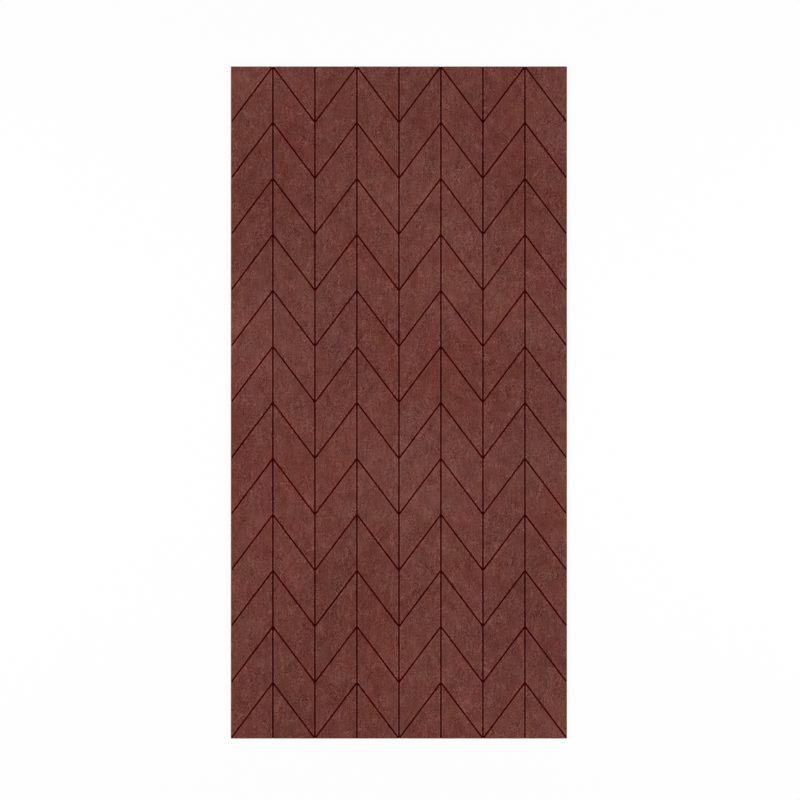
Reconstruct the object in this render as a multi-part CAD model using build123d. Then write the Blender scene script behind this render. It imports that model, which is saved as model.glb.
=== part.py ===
from build123d import *
import math
import os

# Felt wall panel: one board of pressed felt, with a chevron pattern of V-grooves cut into its face.
# The board lies face up. The origin is the middle of its back face, +Y runs up the panel as it hangs,
# and +Z points out of the grooved face. All sizes are in millimetres.

# The board
PANEL_WIDTH = 1200.0
PANEL_LENGTH = 2400.0
PANEL_THICKNESS = 12.0

# The pattern: upright grooves stand one column apart, counted out from the middle of the board.
# Between them each chevron climbs and falls by its rise, and the chevrons follow each other down
# from the top edge at their pitch.
COLUMN_WIDTH = 150.0
CHEVRON_RISE = 200.0
CHEVRON_PITCH = 200.0

# The V-groove, measured square across its run at the face, and down from the face
GROOVE_WIDTH = 5.0
GROOVE_DEPTH = 6.0

# How far the knife runs on past the board's edges and above its face
KNIFE_OVERRUN = 10.0

TOP_EDGE = PANEL_LENGTH / 2
SIDE_EDGE = PANEL_WIDTH / 2


def count_up(length, step):
    """How many whole or part steps cover a length."""
    return math.ceil(round(length / step, 6))


def plain_board():
    """The uncut board, lying on its back face."""
    return Box(
        PANEL_WIDTH,
        PANEL_LENGTH,
        PANEL_THICKNESS,
        align=(Align.CENTER, Align.CENTER, Align.MIN),
    )


def knife_section():
    """The V that the knife takes out, point down, with the board's face at height zero."""
    half_mouth = GROOVE_WIDTH / 2 * (GROOVE_DEPTH + KNIFE_OVERRUN) / GROOVE_DEPTH
    return Polygon(
        (0, -GROOVE_DEPTH),
        (half_mouth, KNIFE_OVERRUN),
        (-half_mouth, KNIFE_OVERRUN),
        align=None,
    )


def groove(points):
    """The felt that the knife removes along a line of points on the face, mitred at its corners."""
    line = Polyline(*[(x, y, PANEL_THICKNESS) for x, y in points])
    run = line % 0
    across = Vector(0, 0, 1).cross(run)
    start = Plane(origin=line @ 0, x_dir=across, z_dir=run)
    return sweep(start * knife_section(), path=line, transition=Transition.RIGHT)


def upright_grooves(columns_each_side):
    """The straight grooves between the columns, from edge to edge along the board."""
    end = TOP_EDGE + KNIFE_OVERRUN
    inner_lines = range(1 - columns_each_side, columns_each_side)
    return [groove([(i * COLUMN_WIDTH, -end), (i * COLUMN_WIDTH, end)]) for i in inner_lines]


def chevron_groove(apex_y, columns_each_side):
    """One zigzag groove across the board, low on the even column lines and high on the odd ones."""

    def height(i):
        return apex_y - CHEVRON_RISE * (1 - i % 2)

    lines = range(-columns_each_side, columns_each_side + 1)
    points = [(i * COLUMN_WIDTH, height(i)) for i in lines]
    # The first and last slants run straight on past the side edges.
    run_on = KNIFE_OVERRUN / COLUMN_WIDTH
    for end, inner in ((0, 1), (-1, -2)):
        (x, y), (inner_x, inner_y) = points[end], points[inner]
        points[end] = (x + (x - inner_x) * run_on, y + (y - inner_y) * run_on)
    return groove(points)


def felt_panel():
    """The finished board, with every groove cut into its face."""
    columns_each_side = count_up(SIDE_EDGE, COLUMN_WIDTH)
    first_row = 1 - count_up(CHEVRON_RISE, CHEVRON_PITCH)
    rows = range(first_row, count_up(PANEL_LENGTH, CHEVRON_PITCH))
    chevrons = [chevron_groove(TOP_EDGE - row * CHEVRON_PITCH, columns_each_side) for row in rows]
    return plain_board() - upright_grooves(columns_each_side) - chevrons


os.makedirs("parts", exist_ok=True)
export_step(felt_panel(), "parts/felt_panel.step")
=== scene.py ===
import math
import random

import bmesh
import bpy
from mathutils import Matrix, Vector, noise


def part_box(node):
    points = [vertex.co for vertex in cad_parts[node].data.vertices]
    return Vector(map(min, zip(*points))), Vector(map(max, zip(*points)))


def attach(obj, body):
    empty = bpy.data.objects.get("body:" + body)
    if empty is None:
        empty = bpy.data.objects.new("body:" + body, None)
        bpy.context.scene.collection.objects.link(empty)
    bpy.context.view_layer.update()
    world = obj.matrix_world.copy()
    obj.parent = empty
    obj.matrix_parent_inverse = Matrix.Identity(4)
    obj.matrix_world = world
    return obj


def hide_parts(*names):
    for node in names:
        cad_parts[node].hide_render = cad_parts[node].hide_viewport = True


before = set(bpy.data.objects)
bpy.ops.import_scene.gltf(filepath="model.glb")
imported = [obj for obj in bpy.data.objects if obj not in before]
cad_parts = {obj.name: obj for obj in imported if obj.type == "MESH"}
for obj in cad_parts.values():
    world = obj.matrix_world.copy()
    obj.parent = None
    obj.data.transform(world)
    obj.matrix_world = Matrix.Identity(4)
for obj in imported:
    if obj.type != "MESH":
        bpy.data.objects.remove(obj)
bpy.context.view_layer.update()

# The board: one sheet of pressed felt, cut to size. A V-shaped knife has cut upright grooves and
# chevron grooves halfway through it from the face. Felt doesn't hold a crisp corner, so the edges of
# the cuts and of the sheet are a little rounded, and the face is not quite level.
face_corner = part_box("felt_panel")[1]
SIDE_EDGE = face_corner.x
TOP_EDGE = face_corner.y
FACE_HEIGHT = face_corner.z
COLUMNS = 8
CHEVRONS = 12
COLUMN_WIDTH = 2 * SIDE_EDGE / COLUMNS
CHEVRON_PITCH = 2 * TOP_EDGE / CHEVRONS
CHEVRON_RISE = 0.200
GROOVE_WIDTH = 0.005
GROOVE_DEPTH = 0.006
CUT_ROUNDING = 0.0009
CUT_SHADE_DEPTH = 0.00005
LIP_WIDTH = 0.005
CHEVRON_LIP = 0.45
RIM_ROUNDING = 0.0010
# Share of the colour of the cuts, partly painted shade, that the rim takes
RIM_SHADED_CUT = 0.6
ROUNDING_STEPS = 3
CELLS_ACROSS_COLUMN = 20
CELLS_ALONG_PITCH = 24
SPARE_CELLS = 2
UNEVENNESS = 0.0004
UNEVENNESS_SIZE = 0.035
UNEVENNESS_DETAIL = 2
SOFT_ABOVE = FACE_HEIGHT / 4
CREASE_DEGREES = 40
LEVEL = 0.9
ON_THE_LINE = 0.0001
SAME_PLACE = 0.000001


def climb(x):
    """How far a chevron has climbed at x above its feet, which are on every second column line.
    Past the side edges it runs straight on."""
    columns_out = abs(x) / COLUMN_WIDTH
    if columns_out > COLUMNS / 2:
        return CHEVRON_RISE * (COLUMNS / 2 - columns_out)
    past_feet = columns_out % 2
    return CHEVRON_RISE * min(past_feet, 2 - past_feet)


def chevrons_down(point):
    """How many chevrons lie above a point, counted from the first one, which is number 0."""
    first_chevron = TOP_EDGE - CHEVRON_RISE + climb(point.x)
    return (first_chevron - point.y) / CHEVRON_PITCH


def from_upright(point):
    """How far a point of the sheet lies from the middle line of the nearest upright groove."""
    last_upright = COLUMNS // 2 - 1
    upright = min(max(round(point.x / COLUMN_WIDTH), -last_upright), last_upright)
    return abs(point.x - upright * COLUMN_WIDTH)


def from_chevron(point):
    """How far a point of the sheet lies from the middle line of the nearest chevron groove."""
    down = chevrons_down(point)
    chevron = min(max(round(down), 0), CHEVRONS - 1)
    slant = COLUMN_WIDTH / math.hypot(COLUMN_WIDTH, CHEVRON_RISE)
    return abs(down - chevron) * CHEVRON_PITCH * slant


def on_groove(point):
    """Whether a point of the sheet lies on the middle line of a groove."""
    return min(from_upright(point), from_chevron(point)) < ON_THE_LINE


def choose(kind, wanted):
    """Selects the vertices or edges of the mesh in edit mode that are wanted, and no others."""
    bpy.ops.mesh.select_mode(type=kind)
    bpy.ops.mesh.select_all(action="DESELECT")
    shape = bmesh.from_edit_mesh(bpy.context.edit_object.data)
    parts = {"VERT": shape.verts, "EDGE": shape.edges}[kind]
    for part in parts:
        if wanted(part):
            part.select_set(True)
    shape.select_flush_mode()
    bmesh.update_edit_mesh(bpy.context.edit_object.data)


# A flat sheet of small cells, larger than the board, with a row of corners along every groove
cells_across = COLUMNS * CELLS_ACROSS_COLUMN + 2 * SPARE_CELLS
cells_along = (CHEVRONS + 2) * CELLS_ALONG_PITCH
sheet_width = cells_across * COLUMN_WIDTH / CELLS_ACROSS_COLUMN
sheet_length = (CHEVRONS + 2) * CHEVRON_PITCH
bpy.ops.object.select_all(action="DESELECT")
bpy.ops.mesh.primitive_grid_add(
    x_subdivisions=cells_across, y_subdivisions=cells_along, size=1, calc_uvs=False
)
board = bpy.context.object
board.name = "felt_board"
board.data.name = "felt_board"
bpy.ops.object.mode_set(mode="EDIT")
bpy.ops.transform.resize(value=(sheet_width, sheet_length, 1))
bpy.ops.transform.translate(value=(0, -CHEVRON_PITCH, FACE_HEIGHT))

# The rows are drawn up into chevrons
shape = bmesh.from_edit_mesh(board.data)
for vertex in shape.verts:
    vertex.co.y += climb(vertex.co.x)
bmesh.update_edit_mesh(board.data)

# Each groove line becomes two walls, and the line between them sinks to the bottom of the cut
choose("EDGE", lambda edge: on_groove((edge.verts[0].co + edge.verts[1].co) / 2))
bpy.ops.mesh.bevel(offset=GROOVE_WIDTH / 2, segments=2, affect="EDGES", clamp_overlap=False)
choose("VERT", lambda vertex: on_groove(vertex.co))
bpy.ops.transform.translate(value=(0, 0, -GROOVE_DEPTH))

# Where grooves cross, the walls meet in mitres that run from the corners of the face to one point
crossings = []
shape = bmesh.from_edit_mesh(board.data)
for vertex in shape.verts:
    around = [edge.other_vert(vertex) for edge in vertex.link_edges]
    if on_groove(vertex.co) and all(on_groove(other.co) for other in around):
        crossings.append((vertex, around))
bpy.ops.mesh.select_all(action="DESELECT")
for vertex, around in crossings:
    down = chevrons_down(vertex.co)
    vertex.co.y += (down - round(down)) * CHEVRON_PITCH
    vertex.select_set(True)
    for face in vertex.link_faces:
        for corner in face.verts:
            if corner not in around:
                corner.select_set(True)
bmesh.update_edit_mesh(board.data)
bpy.ops.mesh.vert_connect()


def edge_of_cut(edge):
    """Whether an edge lies between the face and the wall of a groove."""
    at_face = all(vertex.co.z > FACE_HEIGHT - ON_THE_LINE for vertex in edge.verts)
    return at_face and any(face.normal.z < LEVEL for face in edge.link_faces)


choose("EDGE", edge_of_cut)
bpy.ops.mesh.bevel(
    offset=CUT_ROUNDING, segments=ROUNDING_STEPS, affect="EDGES", clamp_overlap=False
)

# The sheet is cut to size, less the rounding of its rim
inner_side = SIDE_EDGE - RIM_ROUNDING
inner_top = TOP_EDGE - RIM_ROUNDING
for across, along in ((1, 0), (-1, 0), (0, 1), (0, -1)):
    bpy.ops.mesh.select_all(action="SELECT")
    bpy.ops.mesh.bisect(
        plane_co=(across * inner_side, along * inner_top, 0),
        plane_no=(across, along, 0),
        clear_outer=True,
        threshold=SAME_PLACE,
    )


def draw_rim(out, height_change):
    """Extrudes the open edge of the board, and moves it up or down and this far out from the inner edge."""
    bpy.ops.mesh.extrude_region_move(TRANSFORM_OT_translate={"value": (0, 0, height_change)})
    shape = bmesh.from_edit_mesh(board.data)
    reach_across = max(vertex.co.x for vertex in shape.verts if vertex.select)
    reach_along = max(vertex.co.y for vertex in shape.verts if vertex.select)
    grow = ((inner_side + out) / reach_across, (inner_top + out) / reach_along, 1)
    bpy.ops.transform.resize(value=grow, center_override=(0, 0, 0))


# The rim turns down from the face, the sides go straight down, and the rim turns in under the back
quarter = [math.radians(90 * step / ROUNDING_STEPS) for step in range(ROUNDING_STEPS + 1)]
choose("EDGE", lambda edge: edge.is_boundary)
for before, now in zip(quarter, quarter[1:]):
    draw_rim(RIM_ROUNDING * math.sin(now), RIM_ROUNDING * (math.cos(now) - math.cos(before)))
draw_rim(RIM_ROUNDING, 0)
bpy.ops.transform.resize(value=(1, 1, 0), center_override=(0, 0, RIM_ROUNDING))
for before, now in zip(quarter, quarter[1:]):
    draw_rim(RIM_ROUNDING * math.cos(now), RIM_ROUNDING * (math.sin(before) - math.sin(now)))
bpy.ops.mesh.edge_face_add()
bpy.ops.mesh.select_all(action="SELECT")
bpy.ops.mesh.normals_make_consistent(inside=False)
bpy.ops.object.mode_set(mode="OBJECT")

# Marks for the material: where the felt is cut and takes the cut colour with its painted shade, wholly in
# the grooves and partly round the rim, and the lips beside the grooves, where the knife has raised the
# nap, more along the uprights. The second mark goes on growing down the walls, where it sets painted
# shade that darkens them towards the bottom, more along the uprights than along the chevrons.
shaded_cut_mask = board.data.attributes.new("shaded_cut", "FLOAT", "POINT")
lips_and_wall_shade = board.data.attributes.new("lip_and_wall_shade", "FLOAT", "POINT")
for vertex in board.data.vertices:
    x, y, z = vertex.co
    if abs(x) > inner_side + ON_THE_LINE or abs(y) > inner_top + ON_THE_LINE:
        shaded_cut_mask.data[vertex.index].value = RIM_SHADED_CUT
    elif z > SOFT_ABOVE:
        shaded_cut_mask.data[vertex.index].value = min(1, (FACE_HEIGHT - z) / CUT_SHADE_DEPTH)
        # Inside a groove the lip mark goes above 1 towards the bottom, where it sets painted shade on the
        # walls
        by_upright = 1 - (from_upright(vertex.co) - GROOVE_WIDTH / 2) / LIP_WIDTH
        by_chevron = 1 - (from_chevron(vertex.co) - GROOVE_WIDTH / 2) / LIP_WIDTH
        lips_and_wall_shade.data[vertex.index].value = max(0, by_upright, by_chevron * CHEVRON_LIP)

# Pressing leaves the face slightly uneven, and the back stays flat
soft = board.vertex_groups.new(name="soft")
above_back = [vertex.index for vertex in board.data.vertices if vertex.co.z > SOFT_ABOVE]
soft.add(above_back, 1.0, "REPLACE")
pressing = bpy.data.textures.new("pressing", "CLOUDS")
pressing.noise_scale = UNEVENNESS_SIZE
pressing.noise_depth = UNEVENNESS_DETAIL
uneven = board.modifiers.new("uneven", "DISPLACE")
uneven.texture = pressing
uneven.texture_coords = "LOCAL"
uneven.vertex_group = "soft"
uneven.strength = UNEVENNESS
bpy.ops.object.modifier_apply(modifier="uneven")
bpy.ops.object.shade_smooth_by_angle(angle=math.radians(CREASE_DEGREES))


# For the export, the board is unfolded on a flat plan: the face, drawn out sideways to keep the grooves
# sharp, the back, narrowed to make room for that, and the four sides as strips
PLAN_GAP = 0.012
FACE_STRETCH = 1.6
BACK_STRETCH = 0.4
BACK_START = 2 * SIDE_EDGE * FACE_STRETCH + PLAN_GAP
SIDES_START = BACK_START + 2 * SIDE_EDGE * BACK_STRETCH + PLAN_GAP
SIDE_STEP = FACE_HEIGHT + PLAN_GAP
PLAN_SIZE = SIDES_START + 4 * SIDE_STEP + PLAN_GAP
SIDEWAYS = 0.05


def unfold(normal, point):
    """Where a point of a face with this normal goes on the plan, in metres across and along."""
    x, y, z = point
    if normal.z > SIDEWAYS:
        return (SIDE_EDGE + x) * FACE_STRETCH, y + TOP_EDGE
    if normal.z < -SIDEWAYS:
        return BACK_START + (SIDE_EDGE - x) * BACK_STRETCH, y + TOP_EDGE
    if abs(normal.x) > abs(normal.y):
        if normal.x > 0:
            return SIDES_START + FACE_HEIGHT - z, y + TOP_EDGE
        return SIDES_START + SIDE_STEP + z, y + TOP_EDGE
    if normal.y > 0:
        return SIDES_START + 2 * SIDE_STEP + z, x + SIDE_EDGE
    return SIDES_START + 3 * SIDE_STEP + FACE_HEIGHT - z, x + SIDE_EDGE


plan = board.data.uv_layers.new(name="OFBake")
for face in board.data.polygons:
    for corner, vertex in zip(face.loop_indices, face.vertices):
        across, along = unfold(face.normal, board.data.vertices[vertex].co)
        plan.uv[corner].vector = ((PLAN_GAP + across) / PLAN_SIZE, (PLAN_GAP + along) / PLAN_SIZE)

# The felt is a mix of darker and paler brick-red fibres. Cut through, it is dark maroon, and the colour
# of the cuts is partly that and partly painted shade of the grooves, which the rim takes in part. The
# last three values are numbers of sockets, because the sockets of a Mix node share their names.
FELT_DARK = (0.0808, 0.0155, 0.0107, 1)
FELT_MIDDLE = (0.1513, 0.0454, 0.0361, 1)
FELT_PALE = (0.2465, 0.0965, 0.0820, 1)
WARM_TINT = (1.09, 0.89, 0.89, 1)
COOL_TINT = (0.89, 1.04, 1.02, 1)
BROWN_TINT = (1.0, 1.05, 0.92, 1)
PLUM_TINT = (1.0, 0.96, 1.07, 1)
PLAIN_TINT = (1.0, 1.0, 1.0, 1)
LIP_TINT = (1.32, 1.52, 1.57, 1)
# Colours of the cut walls: partly the felt's own darker cut, partly painted shade of the grooves
SHADED_CUT_DARK = (0.025, 0.0002, 0.0001, 1)
SHADED_CUT_PALE = (0.186, 0.0022, 0.0006, 1)
WANDER_SHARE = 0.8
WAVE_GENTLENESS = 4.0
MIDDLE_SHADE = 0.5
USUAL_TUFTING = 0.95
LEAST_TUFTING = 0.2
# How much the painted shade darkens the walls of the cuts towards the bottom
PAINTED_SHADE_DOWN_WALLS = 0.21
RELIEF = 0.0003
FELT_ROUGHNESS = 0.95
FELT_SHINE = 0.02
MM_PER_METRE = 1000
NOISE_MIDDLE = 0.5
FIRST_COLOUR = 6
SECOND_COLOUR = 7
MIXED_COLOUR = 2


def add_node(tree, kind, values=None, **settings):
    """Adds a shader node. Values go to its inputs, as numbers or as the outputs of other nodes."""
    made = tree.nodes.new(kind)
    for name, setting in settings.items():
        setattr(made, name, setting)
    for socket, value in (values or {}).items():
        if isinstance(value, bpy.types.NodeSocket):
            tree.links.new(value, made.inputs[socket])
        else:
            made.inputs[socket].default_value = value
    return made


def maths(tree, operation, *values, **settings):
    """Adds a Math node and returns its result."""
    numbered = dict(enumerate(values))
    return add_node(tree, "ShaderNodeMath", numbered, operation=operation, **settings).outputs[0]


def total(tree, *values):
    """Adds values up."""
    result = values[0]
    for value in values[1:]:
        result = maths(tree, "ADD", result, value)
    return result


def mix(tree, factor, first, second, **settings):
    """Mixes two colours."""
    values = {"Factor": factor, FIRST_COLOUR: first, SECOND_COLOUR: second}
    mixed = add_node(tree, "ShaderNodeMix", values, data_type="RGBA", **settings)
    return mixed.outputs[MIXED_COLOUR]


def mottle(tree, place, size, strength, detail=0.0, roughness=0.5):
    """Adds soft noise whose patches are about this large along X, Y and Z, in millimetres.
    It swings about zero, and strength is how much it counts."""
    scale = [MM_PER_METRE / length for length in size]
    stretched = add_node(tree, "ShaderNodeMapping", {"Vector": place, "Scale": scale})
    patches = add_node(
        tree,
        "ShaderNodeTexNoise",
        {"Vector": stretched.outputs[0], "Scale": 1.0, "Detail": detail, "Roughness": roughness},
    )
    swing = maths(tree, "SUBTRACT", patches.outputs["Fac"], NOISE_MIDDLE)
    return maths(tree, "MULTIPLY", swing, strength)


def wander(tree, place, length):
    """Shifts a place to and fro every so many millimetres, so that straight lines drawn there wander."""
    bends = add_node(
        tree, "ShaderNodeTexNoise", {"Vector": place, "Scale": MM_PER_METRE / length, "Detail": 0.0}
    )
    centred = add_node(
        tree,
        "ShaderNodeVectorMath",
        {0: bends.outputs["Color"], 1: [NOISE_MIDDLE] * 3},
        operation="SUBTRACT",
    )
    reach = [WANDER_SHARE * length / MM_PER_METRE] * 3
    return add_node(
        tree,
        "ShaderNodeVectorMath",
        {0: centred.outputs[0], 1: reach, 2: place},
        operation="MULTIPLY_ADD",
    ).outputs[0]


def strands(tree, place, turn, spacing, width, length, strength):
    """Adds a layer of thin lines with this spacing, width and length, in millimetres, turned by this many
    degrees from the Y axis."""
    cell = [size / MM_PER_METRE for size in (spacing, length, length)]
    drawn_out = add_node(
        tree,
        "ShaderNodeMapping",
        {"Vector": place, "Rotation": (0, 0, math.radians(turn)), "Scale": cell},
        vector_type="TEXTURE",
    )
    waves = add_node(
        tree, "ShaderNodeTexNoise", {"Vector": drawn_out.outputs[0], "Scale": 1.0, "Detail": 0.0}
    )
    swing = maths(tree, "SUBTRACT", waves.outputs["Fac"], NOISE_MIDDLE)
    off_line = maths(tree, "ABSOLUTE", swing)
    sharpness = WAVE_GENTLENESS * spacing / width
    line = maths(tree, "MULTIPLY_ADD", off_line, -sharpness, 1.0, use_clamp=True)
    return maths(tree, "MULTIPLY", line, strength)


felt = bpy.data.materials.new("felt")
felt.use_nodes = True
tree = felt.node_tree
tree.nodes.clear()

# Down the sides the pattern runs on aslant, so that it isn't drawn out into stripes there
spot = add_node(tree, "ShaderNodeTexCoord").outputs["Object"]
height = add_node(tree, "ShaderNodeSeparateXYZ", {0: spot}).outputs["Z"]
aslant = add_node(tree, "ShaderNodeCombineXYZ", {"X": height, "Y": height}).outputs[0]
place = add_node(tree, "ShaderNodeVectorMath", {0: spot, 1: aslant}, operation="ADD").outputs[0]

# Soft tones first: broad clouds, blotches two fingers wide, streaks along the sheet, and on the sides
# the layers that the felt was built up from
tone = total(
    tree,
    mottle(tree, place, size=(600, 480, 600), strength=0.36),
    mottle(tree, place, size=(36, 60, 36), strength=0.44, detail=2.0),
    mottle(tree, place, size=(6, 45, 6), strength=0.42, detail=1.0),
    mottle(tree, spot, size=(40, 40, 0.9), strength=0.30, detail=1.0),
)

# Then tufts of fibre, which stand out in some patches and lie smooth in others
combed = wander(tree, place, length=15)
tufts = total(
    tree,
    mottle(tree, place, size=(3.2, 4.5, 3.2), strength=1.95, detail=2.0, roughness=0.7),
    strands(tree, combed, turn=25, spacing=5, width=1.2, length=24, strength=0.18),
    strands(tree, combed, turn=-35, spacing=5, width=1.2, length=22, strength=-0.18),
    strands(tree, combed, turn=-12, spacing=15, width=1.8, length=36, strength=0.30),
    strands(tree, combed, turn=8, spacing=17, width=1.8, length=36, strength=-0.15),
)
tufting = total(tree, mottle(tree, place, size=(38, 45, 38), strength=3.6, detail=1.0), USUAL_TUFTING)
tufting = maths(tree, "MAXIMUM", tufting, LEAST_TUFTING)
tone = maths(tree, "MULTIPLY_ADD", tufts, tufting, tone)

# Last the nap, which is single fibres that lie every way
curly = wander(tree, place, length=6)
nap = total(
    tree,
    strands(tree, curly, turn=10, spacing=0.35, width=0.09, length=6, strength=0.22),
    strands(tree, curly, turn=70, spacing=0.30, width=0.08, length=5, strength=-0.22),
    strands(tree, curly, turn=125, spacing=0.40, width=0.10, length=6, strength=0.18),
    strands(tree, curly, turn=165, spacing=0.30, width=0.08, length=5, strength=-0.18),
)
shade = total(tree, tone, nap, MIDDLE_SHADE)
shades = add_node(tree, "ShaderNodeValToRGB", {"Fac": shade})
shades.color_ramp.elements[0].color = FELT_DARK
shades.color_ramp.elements[1].color = FELT_PALE
shades.color_ramp.elements.new(MIDDLE_SHADE).color = FELT_MIDDLE

# The dye drifts between a warmer and a cooler red, and between brown and plum, and the lips are paler
drift = total(
    tree,
    mottle(tree, place, size=(50, 60, 50), strength=1.0, detail=2.0),
    mottle(tree, place, size=(320, 700, 320), strength=0.8, detail=1.0),
    MIDDLE_SHADE,
)
second_drift = total(
    tree,
    mottle(tree, place, size=(45, 55, 70), strength=1.2, detail=1.0),
    mottle(tree, place, size=(260, 330, 400), strength=0.6, detail=1.0),
    MIDDLE_SHADE,
)
lip_and_wall_shade = add_node(tree, "ShaderNodeAttribute", attribute_name="lip_and_wall_shade").outputs["Fac"]
dyed = shades.outputs["Color"]
for way, first_tint, second_tint in (
    (drift, WARM_TINT, COOL_TINT),
    (second_drift, BROWN_TINT, PLUM_TINT),
    (lip_and_wall_shade, PLAIN_TINT, LIP_TINT),
):
    tint = mix(tree, way, first_tint, second_tint)
    dyed = mix(tree, 1.0, dyed, tint, blend_type="MULTIPLY")

# Painted shade: the walls of the cuts darken towards the bottom, and more along the uprights
cut_tone_and_painted_shade = maths(tree, "MULTIPLY_ADD", lip_and_wall_shade, -PAINTED_SHADE_DOWN_WALLS, shade)
# The cut colour, darker than the felt's own cut by painted shade of the grooves
shaded_cut = mix(tree, cut_tone_and_painted_shade, SHADED_CUT_DARK, SHADED_CUT_PALE)
where_cut = add_node(tree, "ShaderNodeAttribute", attribute_name="shaded_cut").outputs["Fac"]
raised = total(tree, tufts, nap)
relief = add_node(tree, "ShaderNodeBump", {"Height": raised, "Strength": 1.0, "Distance": RELIEF})
cloth = add_node(
    tree,
    "ShaderNodeBsdfPrincipled",
    {
        "Base Color": mix(tree, where_cut, dyed, shaded_cut),
        "Roughness": FELT_ROUGHNESS,
        "Specular IOR Level": FELT_SHINE,
        "Normal": relief.outputs[0],
    },
)
add_node(tree, "ShaderNodeOutputMaterial", {"Surface": cloth.outputs[0]})
board.data.materials.append(felt)

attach(board, "root")
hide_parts("felt_panel")

# The loose fibres: short ends of paler, darker and plain fibre that lie curled on the face, partly sunk
# in it. They are the same stuff as the board and were pressed into it. They lie more along the sheet
# than across it, thicker in some places than in others, and the knife has left none across a cut.
FIBRE_LENGTH = 0.014
FIBRE_WIDTH = 0.0004
FIBRE_HEIGHT = 0.00025
FIBRE_SINK = 0.00008
FIBRE_CURLS = ((12, 16, 18, 14, 8), (18, 10, -6, -18, -14), (4, 10, 20, 26, 18), (-10, 6, 16, 6, -10))
FIBRE_SIDES = 3
TIP_SHARE = 0.35
SHORTEST_SHARE = 0.7
LONGEST_SHARE = 1.3
LEAN_DEGREES = 45.0
FIBRES = 5000
CLUMP_SIZE = 0.040
CLUMPING = 0.4
FIBRE_DARK = (0.0600, 0.0104, 0.0070, 1)
FIBRE_PALE = (0.3050, 0.1360, 0.1140, 1)
SHADE_SPREAD = 0.002
FIBRE_ROUGHNESS = 0.9
FIBRE_SHINE = 0.1
HIGH_ABOVE = Vector((0, 0, 1))
STRAIGHT_DOWN = (0, 0, -1)


def bend_fibre(turns):
    """Models one fibre that turns by these angles, in degrees, and is thin at both ends.
    Returns its points, with its middle at the origin, and its faces."""
    step = FIBRE_LENGTH / (len(turns) + 1)
    # Across, the fibre is a triangle, whose sides are as long as the fibre is wide
    triangle_radius = FIBRE_WIDTH / math.sqrt(3)
    triangle_height = FIBRE_WIDTH * math.sqrt(3) / 2
    flatness = FIBRE_HEIGHT / triangle_height
    bpy.ops.object.select_all(action="DESELECT")
    bpy.ops.mesh.primitive_circle_add(
        vertices=FIBRE_SIDES,
        radius=triangle_radius,
        fill_type="NGON",
        rotation=(math.pi / 2, 0, math.pi / 2),
    )
    bpy.ops.object.transform_apply(location=False, rotation=True, scale=False)
    bpy.ops.object.mode_set(mode="EDIT")
    bpy.ops.transform.resize(value=(1, TIP_SHARE, TIP_SHARE * flatness))
    heading = 0.0
    end = Vector((0, 0, 0))
    for number, turn in enumerate((*turns, 0)):
        move = Vector((math.cos(heading), math.sin(heading), 0)) * step
        end = end + move
        bpy.ops.mesh.extrude_region_move(TRANSFORM_OT_translate={"value": move})
        if number == 0:
            bpy.ops.transform.resize(value=[1 / TIP_SHARE] * 3, center_override=end)
        if number == len(turns):
            bpy.ops.transform.resize(value=[TIP_SHARE] * 3, center_override=end)
        heading += math.radians(turn)
        bpy.ops.transform.rotate(value=-math.radians(turn), orient_axis="Z", center_override=end)
    bpy.ops.mesh.select_all(action="SELECT")
    bpy.ops.mesh.normals_make_consistent(inside=False)
    bpy.ops.transform.translate(value=-end / 2)
    bpy.ops.object.mode_set(mode="OBJECT")
    bent = bpy.context.object.data
    points = [vertex.co.copy() for vertex in bent.vertices]
    faces = [list(face.vertices) for face in bent.polygons]
    bpy.ops.object.delete()
    return points, faces


curls = [bend_fibre(turns) for turns in FIBRE_CURLS]


def beside_cuts(point):
    """Whether a point lies on the level part of the face, clear of the rim and of the grooves."""
    on_board = abs(point.x) < inner_side and abs(point.y) < inner_top
    clear = min(from_upright(point), from_chevron(point)) > GROOVE_WIDTH / 2 + CUT_ROUNDING
    return on_board and clear


def strew_fibres(name, darkest, palest, seed):
    """Lays fibres on the face at random as one piece, each with a shade between these two, which its
    map holds across, with its length along."""
    chance = random.Random(seed)
    points = []
    faces = []
    shades = []
    laid = 0
    while laid < FIBRES:
        across = chance.uniform(-inner_side, inner_side)
        along = chance.uniform(-inner_top, inner_top)
        middle = Vector((across, along, 0))
        size = chance.uniform(SHORTEST_SHARE, LONGEST_SHARE)
        flip = chance.choice((-1, 1))
        lean = math.pi / 2 + math.radians(chance.gauss(0, LEAN_DEGREES))
        lie = Matrix.Rotation(lean, 3, "Z") @ Matrix.Diagonal((size * flip, size, 1))
        curl, curl_faces = chance.choice(curls)
        outline = [middle + lie @ point for point in curl]
        shade = chance.uniform(darkest, palest)
        bare = noise.noise(middle / CLUMP_SIZE) < chance.uniform(-CLUMPING, CLUMPING)
        if bare or not all(map(beside_cuts, outline)):
            continue
        face_here = board.ray_cast(middle + HIGH_ABOVE, STRAIGHT_DOWN)[1]
        lift = Vector((0, 0, face_here.z - FIBRE_SINK))
        first = len(points)
        points.extend(point + lift for point in outline)
        faces.extend([first + corner for corner in face[::flip]] for face in curl_faces)
        shades.extend([shade] * len(curl))
        laid += 1
    mesh = bpy.data.meshes.new(name)
    mesh.from_pydata(points, [], faces)
    shade_map = mesh.uv_layers.new(name="OFBake")
    rings = len(curl) // FIBRE_SIDES
    for loop in mesh.loops:
        side = loop.vertex_index % FIBRE_SIDES
        ring = loop.vertex_index // FIBRE_SIDES % rings
        across = shades[loop.vertex_index] + SHADE_SPREAD * (side - 1)
        shade_map.uv[loop.index].vector = (across, ring / rings)
    piece = bpy.data.objects.new(name, mesh)
    bpy.context.collection.objects.link(piece)
    return piece


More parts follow.
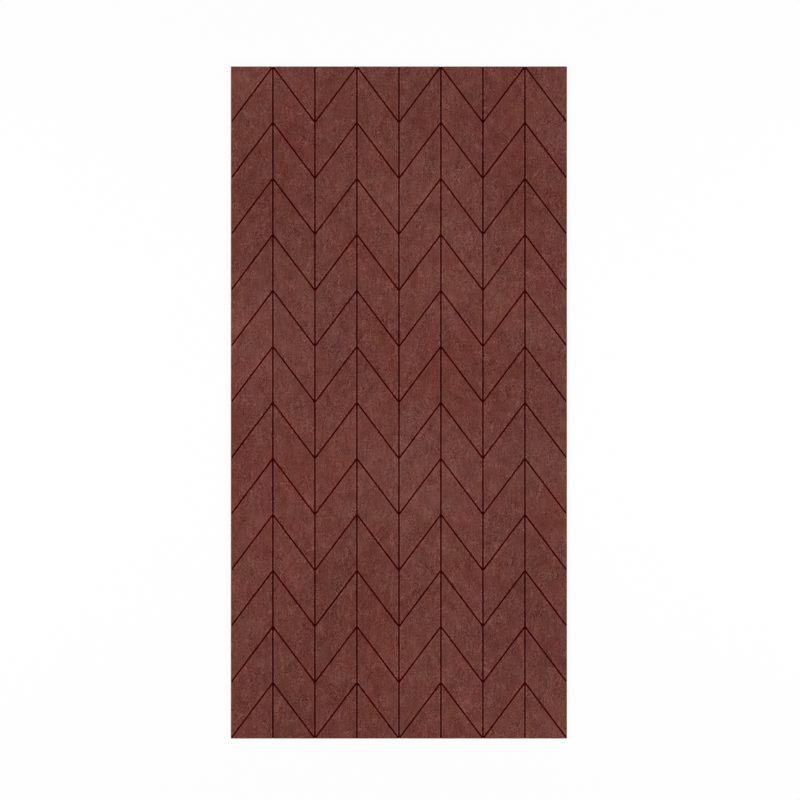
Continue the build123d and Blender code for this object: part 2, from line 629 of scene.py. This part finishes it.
fibre = bpy.data.materials.new("loose fibre")
fibre.use_nodes = True
tree = fibre.node_tree
tree.nodes.clear()
map_place = add_node(tree, "ShaderNodeUVMap", uv_map="OFBake").outputs[0]
shade = add_node(tree, "ShaderNodeSeparateXYZ", {0: map_place}).outputs["X"]
shades = add_node(tree, "ShaderNodeValToRGB", {"Fac": shade})
shades.color_ramp.elements[0].color = FIBRE_DARK
shades.color_ramp.elements[1].color = FIBRE_PALE
shades.color_ramp.elements.new(MIDDLE_SHADE).color = FELT_MIDDLE
cloth = add_node(
    tree,
    "ShaderNodeBsdfPrincipled",
    {
        "Base Color": shades.outputs["Color"],
        "Roughness": FIBRE_ROUGHNESS,
        "Specular IOR Level": FIBRE_SHINE,
    },
)
add_node(tree, "ShaderNodeOutputMaterial", {"Surface": cloth.outputs[0]})

for name, darkest, palest, seed in (
    ("pale_fibres", 0.7, 1.0, 3),
    ("dark_fibres", 0.0, 0.3, 4),
    ("plain_fibres", 0.4, 0.6, 5),
):
    piece = strew_fibres(name, darkest, palest, seed)
    piece.data.materials.append(fibre)
    piece.data.shade_smooth()
    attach(piece, "root")

# The floor: a plain white sheet of paper under the board. The camera sees it as nearly plain white, and
# it keeps the board's shadow. It lies a hair below the board's back, so that the two don't share a plane.
FLOOR_SIZE = 30.0
FLOOR_BELOW = 0.0002
FLOOR_WHITE = (0.95, 0.95, 0.95, 1)
FLOOR_GLOW = 0.86


def seen_straight(tree):
    """1 for light that reaches the camera straight, off gloss or through glass, and 0 for the rest."""
    ray = add_node(tree, "ShaderNodeLightPath").outputs
    seen = maths(tree, "MAXIMUM", ray["Is Camera Ray"], ray["Is Glossy Ray"])
    return maths(tree, "MAXIMUM", seen, ray["Is Transmission Ray"])


bpy.ops.object.select_all(action="DESELECT")
bpy.ops.mesh.primitive_plane_add(size=FLOOR_SIZE, location=(0, 0, -FLOOR_BELOW))
floor = bpy.context.object
floor.name = "floor"
paper = bpy.data.materials.new("floor paper")
paper.use_nodes = True
tree = paper.node_tree
tree.nodes.clear()
glow = maths(tree, "MULTIPLY", seen_straight(tree), FLOOR_GLOW)
lit = add_node(tree, "ShaderNodeBsdfDiffuse", {"Color": FLOOR_WHITE}).outputs[0]
white = add_node(tree, "ShaderNodeEmission", {"Strength": 1.0}).outputs[0]
mixed = add_node(tree, "ShaderNodeMixShader", {0: glow, 1: lit, 2: white})
add_node(tree, "ShaderNodeOutputMaterial", {"Surface": mixed.outputs[0]})
floor.data.materials.append(paper)

# The light: an even white dome, and two large soft boxes that face the board from left and right.
# The camera sees the dome as plain white.
DOME_LEVEL = 0.44
DOME_WHITE = (1, 1, 1, 1)
BOX_POWER = 103.0
BOX_WIDTH = 3.0
BOX_LENGTH = 4.5
BOX_AWAY = 3.2
BOX_UP = 3.6

dome = bpy.data.worlds.new("dome")
bpy.context.scene.world = dome
dome.use_nodes = True
tree = dome.node_tree
tree.nodes.clear()
level = maths(tree, "MULTIPLY_ADD", seen_straight(tree), 1.0 - DOME_LEVEL, DOME_LEVEL)
sky = add_node(tree, "ShaderNodeBackground", {"Color": DOME_WHITE, "Strength": level})
add_node(tree, "ShaderNodeOutputWorld", {"Surface": sky.outputs[0]})

for side in (-1, 1):
    bpy.ops.object.light_add(
        type="AREA",
        location=(side * BOX_AWAY, 0, BOX_UP),
        rotation=(0, side * math.atan2(BOX_AWAY, BOX_UP), 0),
    )
    box = bpy.context.object
    box.name = "soft_box"
    box.data.shape = "RECTANGLE"
    box.data.size = BOX_WIDTH
    box.data.size_y = BOX_LENGTH
    box.data.energy = BOX_POWER

# The camera looks straight down on the board from about 8 metres, so there is next to no perspective.
# The middle of the picture lies about one pixel right of the board's middle and two or three above it.
PICTURE_PIXELS = 800
BOARD_PIXELS_LONG = 672.15
RIGHT_OF_BOARD_PIXELS = 1.08
ABOVE_BOARD_PIXELS = 2.5
LENS_MM = 100.0

pixel = 2 * TOP_EDGE / BOARD_PIXELS_LONG
bpy.ops.object.camera_add(rotation=(0, 0, 0))
camera = bpy.context.object
camera.data.lens = LENS_MM
distance = PICTURE_PIXELS * pixel * LENS_MM / camera.data.sensor_width
camera.location = (RIGHT_OF_BOARD_PIXELS * pixel, ABOVE_BOARD_PIXELS * pixel, FACE_HEIGHT + distance)
bpy.context.scene.camera = camera
bpy.context.scene.view_settings.view_transform = "Standard"
